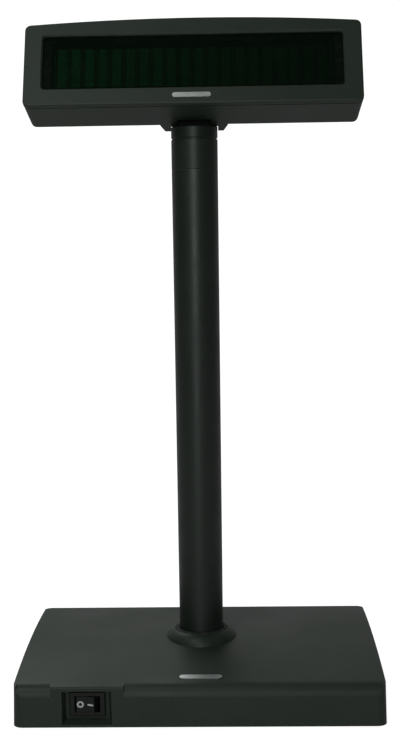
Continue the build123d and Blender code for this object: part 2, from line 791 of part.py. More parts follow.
def case_form(inset):
    """The rear cover's outer form behind the bezel, or the same drawn in by a wall thickness."""
    near, far = BEZEL_T, HEAD_D - inset
    slope = tan(radians(CHIN_DRAFT))
    corner = 3.4 - min(inset, 1.4)
    with BuildPart() as form:
        with BuildSketch(at_depth(near)):
            add(face_outline(inset, near * slope + inset, corner))
        with BuildSketch(at_depth(far)):
            add(face_outline(inset + SIDE_DRAW_IN, far * slope + inset, corner))
        loft()
    return form.part


def make_bezel():
    """Front bezel: window with a bevelled rim, locating lip and screw posts."""
    middle_t = (WINDOW_LOW + WINDOW_HIGH) / 2
    window_h = WINDOW_HIGH - WINDOW_LOW
    with BuildPart() as bezel:
        with BuildSketch(at_depth(BEZEL_T)):
            add(face_outline(0, 0, 3.4))
        extrude(amount=BEZEL_T)
        rim = bezel.faces().sort_by(Axis(HEAD.origin, HEAD.z_dir))[-1].outer_wire().edges()
        fillet(rim, 0.9)
        # lip that locates the rear cover
        with BuildSketch(at_depth(BEZEL_T + 2)):
            add(face_outline(LIP_OUT, LIP_OUT + 0.5, 2))
        extrude(amount=3)
        with BuildSketch(at_depth(BEZEL_T + 2)):
            add(face_outline(LIP_OUT + 1.1, LIP_OUT + 1.6, 1.5))
        extrude(amount=3, mode=Mode.SUBTRACT)
        # window, its edge bevelled towards the customer
        with BuildSketch(HEAD):
            with Locations((0, middle_t)):
                RectangleRounded(2 * WINDOW_HALF_W + 1.8, window_h + 1.8, 2.9)
        extrude(amount=-0.9, taper=45, mode=Mode.SUBTRACT)
        with BuildSketch(HEAD):
            with Locations((0, middle_t)):
                RectangleRounded(2 * WINDOW_HALF_W, window_h, 2.0)
        extrude(amount=-3, mode=Mode.SUBTRACT)
        # posts for the case screws and the driver board
        for places, top_n in ((CASE_SCREWS, 13.8), (END_POSTS, HEAD_BOARD_BACK)):
            with BuildSketch(at_depth(top_n)):
                with Locations(places):
                    Circle(2.6)
            extrude(amount=top_n - FILTER_N + 0.3)
            with BuildSketch(at_depth(top_n)):
                with Locations(places):
                    Circle(1.3)
            extrude(amount=top_n - 2.8, mode=Mode.SUBTRACT)
    return bezel


def hump_form():
    """The housing of the tilt hinge, which carries the chin's slope further back."""
    slope = tan(radians(CHIN_DRAFT))
    with BuildPart() as form:
        with BuildSketch(head_across(-HUMP_HALF_W)):
            with BuildLine():
                Polyline(
                    (20, 20 * slope),
                    (HUMP_D, HUMP_D * slope),
                    (HUMP_D, HUMP_TOP - 9),
                    (HEAD_D - 0.5, HUMP_TOP),
                    (20, HUMP_TOP),
                    close=True,
                )
            make_face()
        extrude(amount=2 * HUMP_HALF_W)
        with BuildSketch(Plane(HEAD.origin, x_dir=(1, 0, 0), z_dir=(0, sin(TILT), cos(TILT)))):
            Polygon(
                (-HUMP_HALF_W, -10),
                (HUMP_HALF_W, -10),
                (HUMP_HALF_W, HEAD_D - 1),
                (HUMP_REAR_HALF_W, HUMP_D),
                (-HUMP_REAR_HALF_W, HUMP_D),
                (-HUMP_HALF_W, HEAD_D - 1),
                align=None,
            )
        extrude(amount=60, mode=Mode.INTERSECT)
    return form.part


def make_rear_cover():
    """Rear cover: shell, hinge housing with its slot for the neck, screw posts and bosses."""
    with BuildPart() as posts:
        with BuildSketch(at_depth(14)):
            with Locations(CASE_SCREWS):
                Circle(4.2)
        extrude(amount=-20)
        with BuildSketch(at_depth(BRACKET_N + BRACKET_T)):
            with Locations(BRACKET_SCREWS):
                Circle(3.2)
        extrude(amount=-10)
        add(case_form(1.8), mode=Mode.INTERSECT)
    with BuildPart() as cover:
        add(case_form(0))
        fillet(cover.faces().sort_by(Axis(HEAD.origin, HEAD.z_dir))[0].edges(), 3.0)
        add(hump_form())
        add(case_form(HEAD_WALL), mode=Mode.SUBTRACT)
        add(posts.part)
        # a shallow step behind the bezel makes the parting line
        with BuildSketch(at_depth(BEZEL_T)):
            add(face_outline(-1, -1, 3.4))
            add(face_outline(1.1, 1.5, 2.4), mode=Mode.SUBTRACT)
        extrude(amount=-1.1, mode=Mode.SUBTRACT)
        # hinge housing: wide rear slot for the collar, cavity for the knuckle, slot for the stem
        for half_w, near_n, far_n, low_t, high_t in (
            (CHEEK_IN, SLOT_EDGE_N, HUMP_D + 6, -5, 21),
            (CHEEK_IN, HEAD_D - 4, HUMP_D - 2, 6, HUMP_TOP - 3),
            (STEM_SLOT_HALF_W, AXIS_N + STEM_FRONT - 0.8, HEAD_D + 1, -5, 8),
        ):
            with BuildSketch(head_across(-half_w)):
                with Locations(((near_n + far_n) / 2, (low_t + high_t) / 2)):
                    Rectangle(far_n - near_n, high_t - low_t)
            extrude(amount=2 * half_w, mode=Mode.SUBTRACT)
        with BuildSketch(at_depth(HEAD_D + 5)):
            with Locations(CASE_SCREWS):
                Circle(2.8)
        extrude(amount=HEAD_D + 5 - 18, mode=Mode.SUBTRACT)
        with BuildSketch(at_depth(HEAD_D)):
            with Locations(CASE_SCREWS):
                Circle(1.5)
        extrude(amount=HEAD_D, mode=Mode.SUBTRACT)
        with BuildSketch(at_depth(27.2)):
            with Locations(BRACKET_SCREWS):
                Circle(1.3)
        extrude(amount=6, mode=Mode.SUBTRACT)
    return cover


# ---------------------------------------------------------------- window and display tube
FILTER_N, FILTER_T = 2.0, 1.5
GLASS_N = 5.6
GLASS_T = 2.4
SUBSTRATE_N = 9.6
SUBSTRATE_T = 2.4
HEAD_BOARD_N = 12.6
HEAD_BOARD_T = 1.6
HEAD_BOARD_BACK = HEAD_BOARD_N + HEAD_BOARD_T
TUBE_X = -1.5  # the display tube sits a little off the head's middle
COLUMNS = 20
COLUMN_PITCH = 7.8
ROW_T = (22.1, 36.3)
CHAR_W, CHAR_H = 5.4, 9.4
PIN_T = 9.7


def plate(centre, size, near_n, thick, corner=0.0):
    """A flat plate parallel to the face, its front at depth near_n."""
    with BuildPart() as made:
        with BuildSketch(at_depth(near_n)):
            with Locations(centre):
                RectangleRounded(*size, corner) if corner else Rectangle(*size)
        extrude(amount=-thick)
    return made


def frame(centre, size, opening, near_n, thick):
    """A flat rectangular frame parallel to the face."""
    with BuildPart() as made:
        with BuildSketch(at_depth(near_n)):
            with Locations(centre):
                Rectangle(*size)
                Rectangle(*opening, mode=Mode.SUBTRACT)
        extrude(amount=-thick)
    return made


def make_display_tube():
    """Fluorescent display tube: glasses, seal, grids, anode pads, filaments and leads."""
    middle_t = 28.9
    with BuildPart() as front:
        add(plate((TUBE_X, middle_t), (162.5, 34.8), GLASS_N, GLASS_T, 0.5).part)
        with BuildSketch(head_across(TUBE_X + 81)):
            with Locations((GLASS_N + GLASS_T / 2, 38)):
                Circle(1.1)
        extrude(amount=5.5, taper=8)
    back = plate((TUBE_X, 28.5), (164.5, 36.6), SUBSTRATE_N, SUBSTRATE_T, 0.5)
    seal_n = GLASS_N + GLASS_T
    seal = frame((TUBE_X, middle_t), (162.5, 34.8), (158.5, 30.8), seal_n, SUBSTRATE_N - seal_n)
    columns_t = sum(ROW_T) / 2
    with BuildPart() as grids:
        with BuildSketch(at_depth(SUBSTRATE_N - 0.7)):
            with Locations((TUBE_X, columns_t)):
                with GridLocations(COLUMN_PITCH, 1, COLUMNS, 1):
                    Rectangle(6.9, 24.6)
        extrude(amount=-0.15)
    with BuildPart() as pads:
        with BuildSketch(at_depth(SUBSTRATE_N - 0.1)):
            with Locations((TUBE_X, columns_t)):
                with GridLocations(COLUMN_PITCH, ROW_T[1] - ROW_T[0], COLUMNS, 2):
                    Rectangle(CHAR_W, CHAR_H)
        extrude(amount=-0.1)
    with BuildPart() as filaments:
        with BuildSketch(head_across(TUBE_X - 78)):
            with Locations((8.4, 20.5), (8.4, 29.2), (8.4, 37.9)):
                Circle(0.12)
        extrude(amount=156)
    with BuildPart() as leads:
        with BuildSketch(at_depth(9.2)):
            with Locations(lead_places()):
                Rectangle(0.5, 0.4)
        extrude(amount=-6.2)
        with BuildSketch(at_depth(9.2)):
            with Locations([(x, t + 0.75) for x, t in lead_places()]):
                Rectangle(0.5, 1.3)
        extrude(amount=-0.4)
    return front, back, seal, grids, pads, filaments, leads


def lead_places():
    """Leads of the display tube, either side of the hinge."""
    return [(side * (19 + 3 * k), PIN_T) for side in (-1, 1) for k in range(20)]


def make_head_board():
    """Driver board behind the display tube, notched round the hinge."""
    with BuildPart() as board:
        with BuildSketch(at_depth(HEAD_BOARD_N)):
            with Locations((0, 27.4)):
                RectangleRounded(166, 39.6, 1.5)
            with Locations((0, 8)):
                Rectangle(34, 33, mode=Mode.SUBTRACT)
            with Locations(lead_places()):
                Circle(0.45, mode=Mode.SUBTRACT)
        extrude(amount=-HEAD_BOARD_T)
    return board


def make_head_board_parts():
    """Parts on the back of the driver board: chips, their legs, capacitors and header."""
    chip_x = (-66, -44, 44)
    with BuildPart() as chips:
        with BuildSketch(at_depth(HEAD_BOARD_BACK)):
            with Locations([(x, 33) for x in chip_x]):
                Rectangle(12, 12)
        extrude(amount=-1.9)
        backs = chips.faces().group_by(Axis(HEAD.origin, HEAD.z_dir))[0]
        chamfer(backs.edges(), 0.4)
    with BuildPart() as legs:
        with BuildSketch(at_depth(HEAD_BOARD_BACK)):
            for x in chip_x:
                for turn in (0, 90):
                    with Locations(Location((x, 33, 0), (0, 0, turn))):
                        with GridLocations(13.6, 1.0, 2, 10):
                            Rectangle(1.4, 0.4)
        extrude(amount=-0.5)
    with BuildPart() as capacitors:
        with BuildSketch(at_depth(HEAD_BOARD_BACK)):
            with Locations((62, 38), (73, 38)):
                Circle(3.9)
        extrude(amount=-7.4)
    with BuildPart() as header:
        with BuildSketch(at_depth(HEAD_BOARD_BACK)):
            with Locations((0, 43.6)):
                Rectangle(14, 5.6)
        extrude(amount=-6.4)
    return chips, legs, capacitors, header


def make_end_brackets():
    """Two tabs that hold the driver board to posts of the bezel."""
    with BuildPart() as brackets:
        for side in (-1, 1):
            with BuildSketch(at_depth(HEAD_BOARD_BACK)):
                with Locations((side * 84.8, 26)):
                    RectangleRounded(13.6, 10, 1.2)
                with Locations((side * 89.2, 26)):
                    Circle(1.6, mode=Mode.SUBTRACT)
            extrude(amount=-1.0)
    return brackets


def make_inner_screws():
    """Small screws inside the head: two hold the board's tabs, four the hinge bracket."""
    size = (1.7, 2.6, 4.8, 1.25)
    with BuildPart() as screws:
        add(head_screws(END_POSTS, HEAD_BOARD_BACK + 1, *size).part)
        add(head_screws(BRACKET_SCREWS, BRACKET_N, *size, driven_from=-1).part)
    return screws


# ---------------------------------------------------------------- tilt hinge inside the head
EAR_IN, EAR_T = 10.4, 2.0


def make_hinge_bracket():
    """Steel bracket: a plate screwed to the rear cover and two ears that carry the tilt shaft."""
    far_n = BRACKET_N + BRACKET_T
    with BuildPart() as bracket:
        with BuildSketch(at_depth(BRACKET_N)):
            with Locations((0, 33.2)):
                RectangleRounded(68, 14.6, 2)
            with Locations((0, 27)):
                Rectangle(12, 14, mode=Mode.SUBTRACT)
            with Locations(BRACKET_SCREWS):
                Circle(1.7, mode=Mode.SUBTRACT)
        extrude(amount=-BRACKET_T)
        for side in (-1, 1):
            start = EAR_IN if side > 0 else -EAR_IN - EAR_T
            with BuildSketch(head_across(start)):
                Polygon(
                    (AXIS_N - 4.7, AXIS_T), (AXIS_N - 4.7, 31), (AXIS_N, 40.5), (far_n, 40.5),
                    (far_n, AXIS_T + 2), (AXIS_N, AXIS_T - 2), align=None,
                )
                with Locations((AXIS_N, AXIS_T)):
                    Circle(4.7)
                    Circle(SHAFT_R + 0.03, mode=Mode.SUBTRACT)
            extrude(amount=EAR_T)
    return bracket


def along_tilt_axis(start_x, length, sides=0, radius=4.0, hole=0.0):
    """A round or hexagonal piece on the tilt axis."""
    with BuildPart() as made:
        with BuildSketch(Plane.YZ.offset(start_x)):
            with Locations((POLE_Y, TILT_AXIS_Z)):
                RegularPolygon(radius, sides) if sides else Circle(radius)
                if hole:
                    Circle(hole, mode=Mode.SUBTRACT)
        extrude(amount=length)
    return made.part


def make_tilt_pieces():
    """Tilt shaft with its head, spring washers either side of the knuckle, and lock nut."""
    ear_out = EAR_IN + EAR_T
    with BuildPart() as shaft:
        add(along_tilt_axis(-ear_out - 2, 2, radius=4.2))
        add(along_tilt_axis(-ear_out - 0.5, 2 * ear_out + 5, radius=SHAFT_R))
        chamfer(shaft.edges().group_by(Axis.X)[-1], 0.4)
    with BuildPart() as washers:
        for start in (-EAR_IN + 0.03, STEM_HALF_W + 0.03):
            add(along_tilt_axis(start, EAR_IN - STEM_HALF_W - 0.06, radius=4.8, hole=SHAFT_R + 0.1))
    with BuildPart() as nut:
        add(along_tilt_axis(ear_out, 3.6, sides=6, radius=4.6, hole=SHAFT_R + 0.03))
    return shaft, washers, nut


# ---------------------------------------------------------------- cables and badges
def cable(points, radii, diameter):
    """A round cable along straight runs joined by arcs."""
    with BuildPart() as lead:
        with BuildLine() as route:
            FilletPolyline(*points, radius=radii)
        with BuildSketch(Plane(origin=route.line @ 0, z_dir=route.line % 0)):
            Circle(diameter / 2)
        sweep()
    return lead


def make_cables():
    """The display cable in its three stretches, and the two leads of the power switch."""
    joint_z = SPIGOT_LOW + 4
    pole_run = cable([(0, 43.6, 17), (0, POLE_Y, 17), (0, POLE_Y, joint_z)], 9, 2 * CABLE_R)
    neck_run = cable(
        [(0, POLE_Y, joint_z + 0.1), (0, POLE_Y, 318), (0, DUCT_Y, 328), (0, DUCT_Y, 352)],
        9, 2 * CABLE_R,
    )
    head_points = [(22.5, 24.8), (30.0, 17.6), (40.7, 17.6)]
    head_run = cable(
        [HEAD.from_local_coords(Vector(0, t, -n)) for t, n in head_points], 6, 2 * CABLE_R
    )
    terminal_y = BEZEL_FACE_Y + 14 + 6.4
    leads = []
    for x, y in ((SWITCH_X - 4, 47.6), (SWITCH_X + 4, 45.0)):
        route = [(x, terminal_y, SWITCH_Z), (x, y, BOARD_TOP + 1.2), (-15, y, BOARD_TOP + 1.2)]
        leads.append(cable(route, 14, 1.8).part)
    with BuildPart() as switch_leads:
        for lead in leads:
            add(lead)
    return pole_run, neck_run, head_run, switch_leads


def top_height(y):
    """Height of the base's arched top at y."""
    slope = tan(radians(BASE_DRAFT))
    front_y, rear_y = BASE_FRONT_Y + BASE_FRONT_H * slope, BASE_REAR_Y + 1

    def rise(at, one, two):
        return (at - one) * (at - two)

    return FOOT_H + (
        BASE_FRONT_H * rise(y, 0, rear_y) / rise(front_y, 0, rear_y)
        + BASE_MID_H * rise(y, front_y, rear_y) / rise(0, front_y, rear_y)
        + BASE_REAR_H * rise(y, front_y, 0) / rise(rear_y, front_y, 0)
    )


def make_badges():
    """Plain badges on the bezel below the window and on the front of the base's top."""
    with BuildPart() as head_badge:
        with BuildSketch(HEAD):
            with Locations((-0.7, 5.2)):
                SlotOverall(21.6, 3.0)
        extrude(amount=0.35)
    near, far = BASE_FRONT_Y + 8.8, BASE_FRONT_Y + 15.4
    low, high = top_height(near), top_height(far)
    lean = atan2(high - low, far - near)
    middle = (0.8, (near + far) / 2, (low + high) / 2 + 0.12)
    with BuildPart() as base_badge:
        with BuildSketch(Plane(middle, x_dir=(1, 0, 0), z_dir=(0, -sin(lean), cos(lean)))):
            SlotOverall(24.6, 4.6)
        extrude(amount=0.4)
    return head_badge, base_badge


def save_all(pieces, names):
    """Save a function's pieces under the names given, in order."""
    for piece, name in zip(pieces, names, strict=True):
        save(piece, name)


if __name__ == "__main__":
    os.makedirs("parts", exist_ok=True)
    save(make_base_cover(), "base_cover")
    save(make_base_plate(), "base_plate")
    save(make_ballast(), "ballast_plate")
    save(make_feet(), "rubber_feet")
    save(make_board(), "interface_board")
    save_all(make_board_parts(), ("board_chips", "chip_legs", "board_capacitors"))
    save(make_wire_headers(), "wire_headers")
    *port, port_contacts, jackscrews = make_serial_port()
    save_all(port, ("serial_port_shell", "serial_port_insert"))
    save(jackscrews, "jackscrews")
    power_jack, jack_pin = make_power_jack()
    save(power_jack, "power_jack")
    with BuildPart() as contacts:
        add(port_contacts.part)
        add(jack_pin.part)
    save(contacts, "connector_contacts")
    save_all(make_switch(), ("switch_housing", "switch_rocker", "switch_marks", "switch_terminals"))
    save(make_pole(), "pole_tube")
    save(make_flange(), "pole_flange")
    save(make_foot_ring(), "pole_foot_ring")
    save(make_bush(), "pole_top_bush")
    save(make_stop_screw(), "swivel_stop_screw")
    save(make_neck(), "neck")
    save(make_retaining_ring(), "retaining_ring")
    save(make_swivel_washer(), "swivel_washer")

    with BuildPart() as standoffs:
        for place in BOARD_HOLES:
            add(ring(PLATE_TOP, BOARD_Z, 3.0, 1.55, place))
    save(standoffs, "board_standoffs")
    save(upright_screws(COVER_BOSSES, 0.6, FOOT_H, 2.9, 14, 1.45, 0.6), "cover_screws")
    save(upright_screws(BALLAST_SCREWS, 0.6, FOOT_H, 3.2, 8.2, 1.7, 0.6), "ballast_screws")
    save(
        upright_screws(flange_places(), FLANGE_TOP, FLANGE_TOP + 2.2, 3.6, 4.4, 1.7, FLANGE_TOP + 2.2),
        "flange_screws",
    )
    save(
        upright_screws(BOARD_HOLES, BOARD_TOP, BOARD_TOP + 1.6, 2.8, 5, 1.45, BOARD_TOP + 1.6),
        "board_screws",
    )

    save(make_bezel(), "front_bezel")
    save(make_rear_cover(), "rear_cover")
    save(plate((0, 27.85), (171.6, 36.7), FILTER_N, FILTER_T, 0.8), "filter_window")
    save(frame((0, 27.85), (171.2, 36.0), (160.5, 31.0), FILTER_N + FILTER_T, 2.0), "display_gasket")
    save_all(
        make_display_tube(),
        ("tube_front_glass", "tube_back_glass", "tube_seal", "tube_grids", "tube_anodes",
         "tube_filaments", "tube_leads"),
    )
    save(make_head_board(), "driver_board")
    save_all(
        make_head_board_parts(),
        ("driver_chips", "driver_chip_legs", "driver_capacitors", "driver_header"),
    )
    save(make_end_brackets(), "board_end_brackets")
    save(make_inner_screws(), "inner_head_screws")
    save(make_hinge_bracket(), "hinge_bracket")
    save_all(make_tilt_pieces(), ("tilt_shaft", "tilt_washers", "tilt_nut"))
    save(head_screws(CASE_SCREWS, 18, 2, 2.6, 13, 1.25), "case_screws")
    save_all(make_cables(), ("pole_cable", "neck_cable", "head_cable", "switch_leads"))
    save_all(make_badges(), ("head_badge", "base_badge"))
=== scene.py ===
"""Looks of the customer pole display: finishes of the CAD nodes, backdrop, lights, camera."""

import json
import math

import bmesh
import bpy
from mathutils import Matrix, Vector

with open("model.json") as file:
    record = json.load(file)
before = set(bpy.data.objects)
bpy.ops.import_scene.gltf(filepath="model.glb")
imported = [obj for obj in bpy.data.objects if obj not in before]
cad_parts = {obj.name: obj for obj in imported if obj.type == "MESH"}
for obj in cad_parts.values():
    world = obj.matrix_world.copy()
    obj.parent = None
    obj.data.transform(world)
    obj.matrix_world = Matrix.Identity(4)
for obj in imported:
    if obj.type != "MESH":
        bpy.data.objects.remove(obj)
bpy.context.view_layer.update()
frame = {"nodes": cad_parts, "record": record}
nodes = frame["nodes"]
MM = 0.001

COLUMN_PITCH = 7.8 * MM  # of the display's twenty grids
GRIDS_SHADE_START_X, GRIDS_SHADE_FULL_X = -60 * MM, 70 * MM  # painted shade on the grids deepens from the first to the second
COLLAR_TOP = 339.05 * MM  # just above the neck's collar, where the neck's painted shade begins
PAINT = (0.0070, 0.0110, 0.0078)

LIGHT_COLOUR = (0.92, 1.0, 0.95)
# place, target, size (all in metres) and power (W) of each area light
SOFTBOXES = {
    "key": ((-0.3, -0.5, 0.85), (0, 0, 0.28), (0.3, 0.3), 1.5),
    "front": ((-0.12, -1.3, 0.5), (0, 0, 0.25), (0.2, 0.7), 3.6),
    "back": ((-0.4, 0.8, 1.2), (0, 0.2, 0), (0.9, 0.5), 4),
}
WORLD_DIM, WORLD_FULL = 0.05, 1.0  # strength as light on the object, and as seen
STAGE_DIM, STAGE_FULL = 0.165, 0.95

BACKDROP_HALF_W = 2.6
FLOOR_FRONT_Y = -2.2
BEND_Y, BEND_R, BEND_STEPS = 0.55, 0.6, 12  # where the floor curves up, and how
WALL_TOP = 2.6

CAMERA_PLACE = (0.02032, -0.75995, 0.27782)
CAMERA_YAW, CAMERA_DOWN, CAMERA_ROLL = -1.498, 11.268, -0.834  # degrees
CAMERA_LENS, CAMERA_SHIFT_Y = 61.95, 0.1594


# ---------------------------------------------------------------- material helpers
class Finish:
    """One procedural material, built up node by node. Lengths are in metres of the frame."""

    def __init__(self, name, colour, roughness, metallic=0.0, **sockets):
        self.material = bpy.data.materials.new(name)
        self.material.use_nodes = True
        self.tree = self.material.node_tree
        self.shader = self.tree.nodes["Principled BSDF"]
        self.shader.inputs["Metallic"].default_value = metallic
        for socket, value in sockets.items():
            self.shader.inputs[socket.replace("_", " ")].default_value = value
        self.place = self.node("ShaderNodeTexCoord").outputs["Object"]
        self.colour = self.node("ShaderNodeRGB").outputs[0]
        self.colour.default_value = (*colour, 1)
        self.roughness = self.node("ShaderNodeValue").outputs[0]
        self.roughness.default_value = roughness
        self.height = None

    def node(self, kind, **settings):
        made = self.tree.nodes.new(kind)
        for key, value in settings.items():
            setattr(made, key, value)
        return made

    def link(self, source, target):
        self.tree.links.new(source, target)

    def stretched(self, scale):
        """Coordinates scaled differently along X, Y and Z."""
        mapping = self.node("ShaderNodeMapping")
        mapping.inputs["Scale"].default_value = scale
        self.link(self.place, mapping.inputs["Vector"])
        return mapping.outputs[0]

    def noise(self, size, detail=2.0, place=None, rough=0.5):
        """Noise whose blotches are about size across."""
        made = self.node("ShaderNodeTexNoise")
        made.inputs["Scale"].default_value = 1 / size
        made.inputs["Detail"].default_value = detail
        made.inputs["Roughness"].default_value = rough
        self.link(place or self.place, made.inputs["Vector"])
        return made.outputs["Fac"]

    def cells(self, size):
        """Distance to the nearest of points about size apart."""
        made = self.node("ShaderNodeTexVoronoi", feature="F1")
        made.inputs["Scale"].default_value = 1 / size
        self.link(self.place, made.inputs["Vector"])
        return made.outputs["Distance"]

    def spread(self, source, low, high, to_low=0.0, to_high=1.0):
        """source from low..high turned into to_low..to_high."""
        made = self.node("ShaderNodeMapRange")
        for socket, value in zip(("From Min", "From Max", "To Min", "To Max"),
                                 (low, high, to_low, to_high)):
            made.inputs[socket].default_value = value
        self.link(source, made.inputs["Value"])
        return made.outputs["Result"]

    def math(self, operation, a, b=None):
        made = self.node("ShaderNodeMath", operation=operation)
        for socket, value in zip(made.inputs, (a, b)):
            if value is None:
                continue
            if isinstance(value, (int, float)):
                socket.default_value = value
            else:
                self.link(value, socket)
        return made.outputs[0]

    def tint(self, factor, colour, strength=1.0):
        """Mixes another colour in where factor is high."""
        mix = self.node("ShaderNodeMix", data_type="RGBA")
        self.link(self.math("MULTIPLY", factor, strength), mix.inputs[0])
        self.link(self.colour, mix.inputs[6])
        mix.inputs[7].default_value = (*colour, 1)
        self.colour = mix.outputs[2]

    def rough(self, factor, amount):
        """Adds up to amount of roughness where factor is high."""
        self.roughness = self.math("ADD", self.roughness, self.math("MULTIPLY", factor, amount))

    def bump(self, source, depth):
        """Adds relief of that depth, in metres."""
        raised = self.math("MULTIPLY", source, depth)
        self.height = raised if self.height is None else self.math("ADD", self.height, raised)

    def edges(self, radius):
        """1 on worn convex and concave edges within radius, 0 on flat faces."""
        bevel = self.node("ShaderNodeBevel", samples=4)
        bevel.inputs["Radius"].default_value = radius
        normal = self.node("ShaderNodeNewGeometry").outputs["Normal"]
        dot = self.node("ShaderNodeVectorMath", operation="DOT_PRODUCT")
        self.link(bevel.outputs[0], dot.inputs[0])
        self.link(normal, dot.inputs[1])
        return self.spread(dot.outputs["Value"], 0.995, 0.93)

    def done(self):
        self.link(self.colour, self.shader.inputs["Base Color"])
        self.link(self.roughness, self.shader.inputs["Roughness"])
        if self.height is not None:
            bump = self.node("ShaderNodeBump")
            bump.inputs["Strength"].default_value = 1.0
            bump.inputs["Distance"].default_value = 1.0
            self.link(self.height, bump.inputs["Height"])
            self.link(bump.outputs[0], self.shader.inputs["Normal"])
        return self.material


def moulded(name, colour, roughness=0.5, grain=0.55 * MM, depth=0.02 * MM, wear=0.4, spec=0.5):
    """Moulded plastic with a spark-eroded texture, faint cloudiness, dust and rubbed edges."""
    f = Finish(name, colour, roughness, Specular_IOR_Level=spec)
    cloud = f.noise(38 * MM, 3)
    lighter = tuple(min(1, 1.5 * c + 0.006) for c in colour)
    f.tint(f.spread(cloud, 0.35, 0.7), lighter, 0.35)
    fine = f.noise(grain, 2, rough=0.6)
    f.tint(f.spread(fine, 0.4, 0.75), lighter, 0.8)
    dust = f.spread(f.noise(1.4 * MM, 2), 0.68, 0.76)
    f.tint(dust, (0.1, 0.11, 0.1), 0.1)
    rubbed = f.math("MULTIPLY", f.edges(0.7 * MM), f.spread(f.noise(5 * MM, 3), 0.35, 0.65))
    f.tint(rubbed, tuple(min(1, 3 * c + 0.02) for c in colour), wear)
    f.rough(f.spread(cloud, 0.3, 0.7, -0.5, 0.5), 0.1)
    f.rough(rubbed, -0.12)
    f.bump(fine, depth)
    f.bump(f.noise(0.25 * MM, 1), 0.3 * depth)
    return f.done()


def coated(name, colour, roughness=0.42):
    """Powder coat: orange peel, fine sparkle of texture, slight rub marks."""
    f = Finish(name, colour, roughness, Specular_IOR_Level=0.5)
    peel = f.noise(0.9 * MM, 2, rough=0.55)
    lighter = tuple(min(1, 2.0 * c + 0.004) for c in colour)
    f.tint(f.spread(peel, 0.45, 0.75), lighter, 0.6)
    f.tint(f.spread(f.noise(30 * MM, 4), 0.4, 0.75), lighter, 0.3)
    f.tint(f.spread(f.cells(2.3 * MM), 0.12, 0.04), (0.16, 0.16, 0.15), 0.12)
    f.tint(f.edges(0.6 * MM), (0.2, 0.2, 0.19), 0.25)
    f.rough(f.spread(f.noise(14 * MM, 3), 0.3, 0.7, -0.5, 0.5), 0.12)
    f.bump(peel, 0.045 * MM)
    f.bump(f.noise(0.35 * MM, 1), 0.012 * MM)
    return f.done()


def casting_with_painted_shade(name, colour):
    """The neck: coated like the pole up to the collar's top; higher up it is painted matt
    near-black, painted shade for the shadow in the slot over the collar.
    """
    f = Finish(name, colour, 0.42, Specular_IOR_Level=0.35)
    split = f.node("ShaderNodeSeparateXYZ")
    f.link(f.place, split.inputs[0])
    above = f.spread(split.outputs["Z"], COLLAR_TOP, COLLAR_TOP + 0.4 * MM)
    peel = f.noise(0.9 * MM, 2, rough=0.55)
    f.tint(f.spread(peel, 0.45, 0.75), tuple(2.0 * c + 0.004 for c in colour), 0.6)
    # painted shade: near-black colour over the stem, where the slot over the collar lies in shadow
    f.tint(above, (0.001, 0.0012, 0.001))
    f.rough(above, 0.4)
    f.bump(peel, 0.045 * MM)
    return f.done()


def metal(name, colour, roughness=0.3, grain=(1, 1, 1), tarnish=0.25, wear=0.0):
    """Bare or plated metal with a drawn or rolled grain and slight tarnish."""
    f = Finish(name, colour, roughness, 1.0)
    lines = f.noise(0.5 * MM, 3, f.stretched(grain))
    darker = tuple(0.6 * c for c in colour)
    f.tint(f.spread(f.noise(9 * MM, 4), 0.4, 0.7), darker, tarnish)
    f.tint(f.spread(lines, 0.4, 0.7), darker, 0.25)
    if wear:
        f.tint(f.edges(0.3 * MM), tuple(min(1, 1.3 * c) for c in colour), wear)
    f.rough(f.spread(lines, 0.3, 0.7, -0.5, 0.5), 0.16)
    f.bump(lines, 0.006 * MM)
    return f.done()


def soft(name, colour, roughness=0.8):
    """Rubber: dull, faintly dusty, with a fine grain."""
    f = Finish(name, colour, roughness, Specular_IOR_Level=0.35)
    grain = f.noise(0.4 * MM, 2)
    f.tint(f.spread(f.noise(4 * MM, 3), 0.45, 0.8), (0.1, 0.1, 0.095), 0.35)
    f.rough(f.spread(grain, 0.3, 0.7, -0.5, 0.5), 0.1)
    f.bump(grain, 0.015 * MM)
    return f.done()


def pane(name, colour, alpha, roughness=0.05):
    """A clear or smoked pane, with fine smears that only dull its gloss."""
    f = Finish(name, colour, roughness, Alpha=alpha, Specular_IOR_Level=0.5)
    smear = f.noise(12 * MM, 4, f.stretched((1, 2.2, 2.2)))
    f.tint(f.spread(smear, 0.45, 0.75), tuple(1.6 * c + 0.003 for c in colour), 0.4)
    f.rough(f.spread(smear, 0.4, 0.75), 0.08)
    return f.done()


def laminate(name, colour):
    """Circuit board: solder mask over tracks, with the weave just showing."""
    f = Finish(name, colour, 0.35, Specular_IOR_Level=0.5, Coat_Weight=0.3)
    cell = f.node("ShaderNodeTexVoronoi", distance="MANHATTAN", feature="F1")
    cell.inputs["Scale"].default_value = 1 / (4 * MM)
    f.link(f.place, cell.inputs["Vector"])
    rings = f.math("FRACT", f.math("MULTIPLY", cell.outputs["Distance"], 3.0))
    tracks = f.spread(rings, 0.55, 0.62)
    f.tint(tracks, tuple(min(1, 1.9 * c + 0.01) for c in colour), 0.7)
    f.tint(f.spread(f.cells(3.1 * MM), 0.14, 0.1), (0.6, 0.5, 0.25), 0.8)
    f.rough(f.noise(0.7 * MM, 1), 0.1)
    f.bump(tracks, 0.03 * MM)
    return f.done()


def powder(name, colour):
    """Fired phosphor: chalky and a little uneven."""
    f = Finish(name, colour, 0.9, Specular_IOR_Level=0.2)
    grain = f.noise(0.12 * MM, 2)
    f.tint(f.spread(f.noise(1.5 * MM, 3), 0.4, 0.7), tuple(0.7 * c for c in colour), 0.5)
    f.rough(grain, 0.05)
    f.bump(grain, 0.01 * MM)
    return f.done()


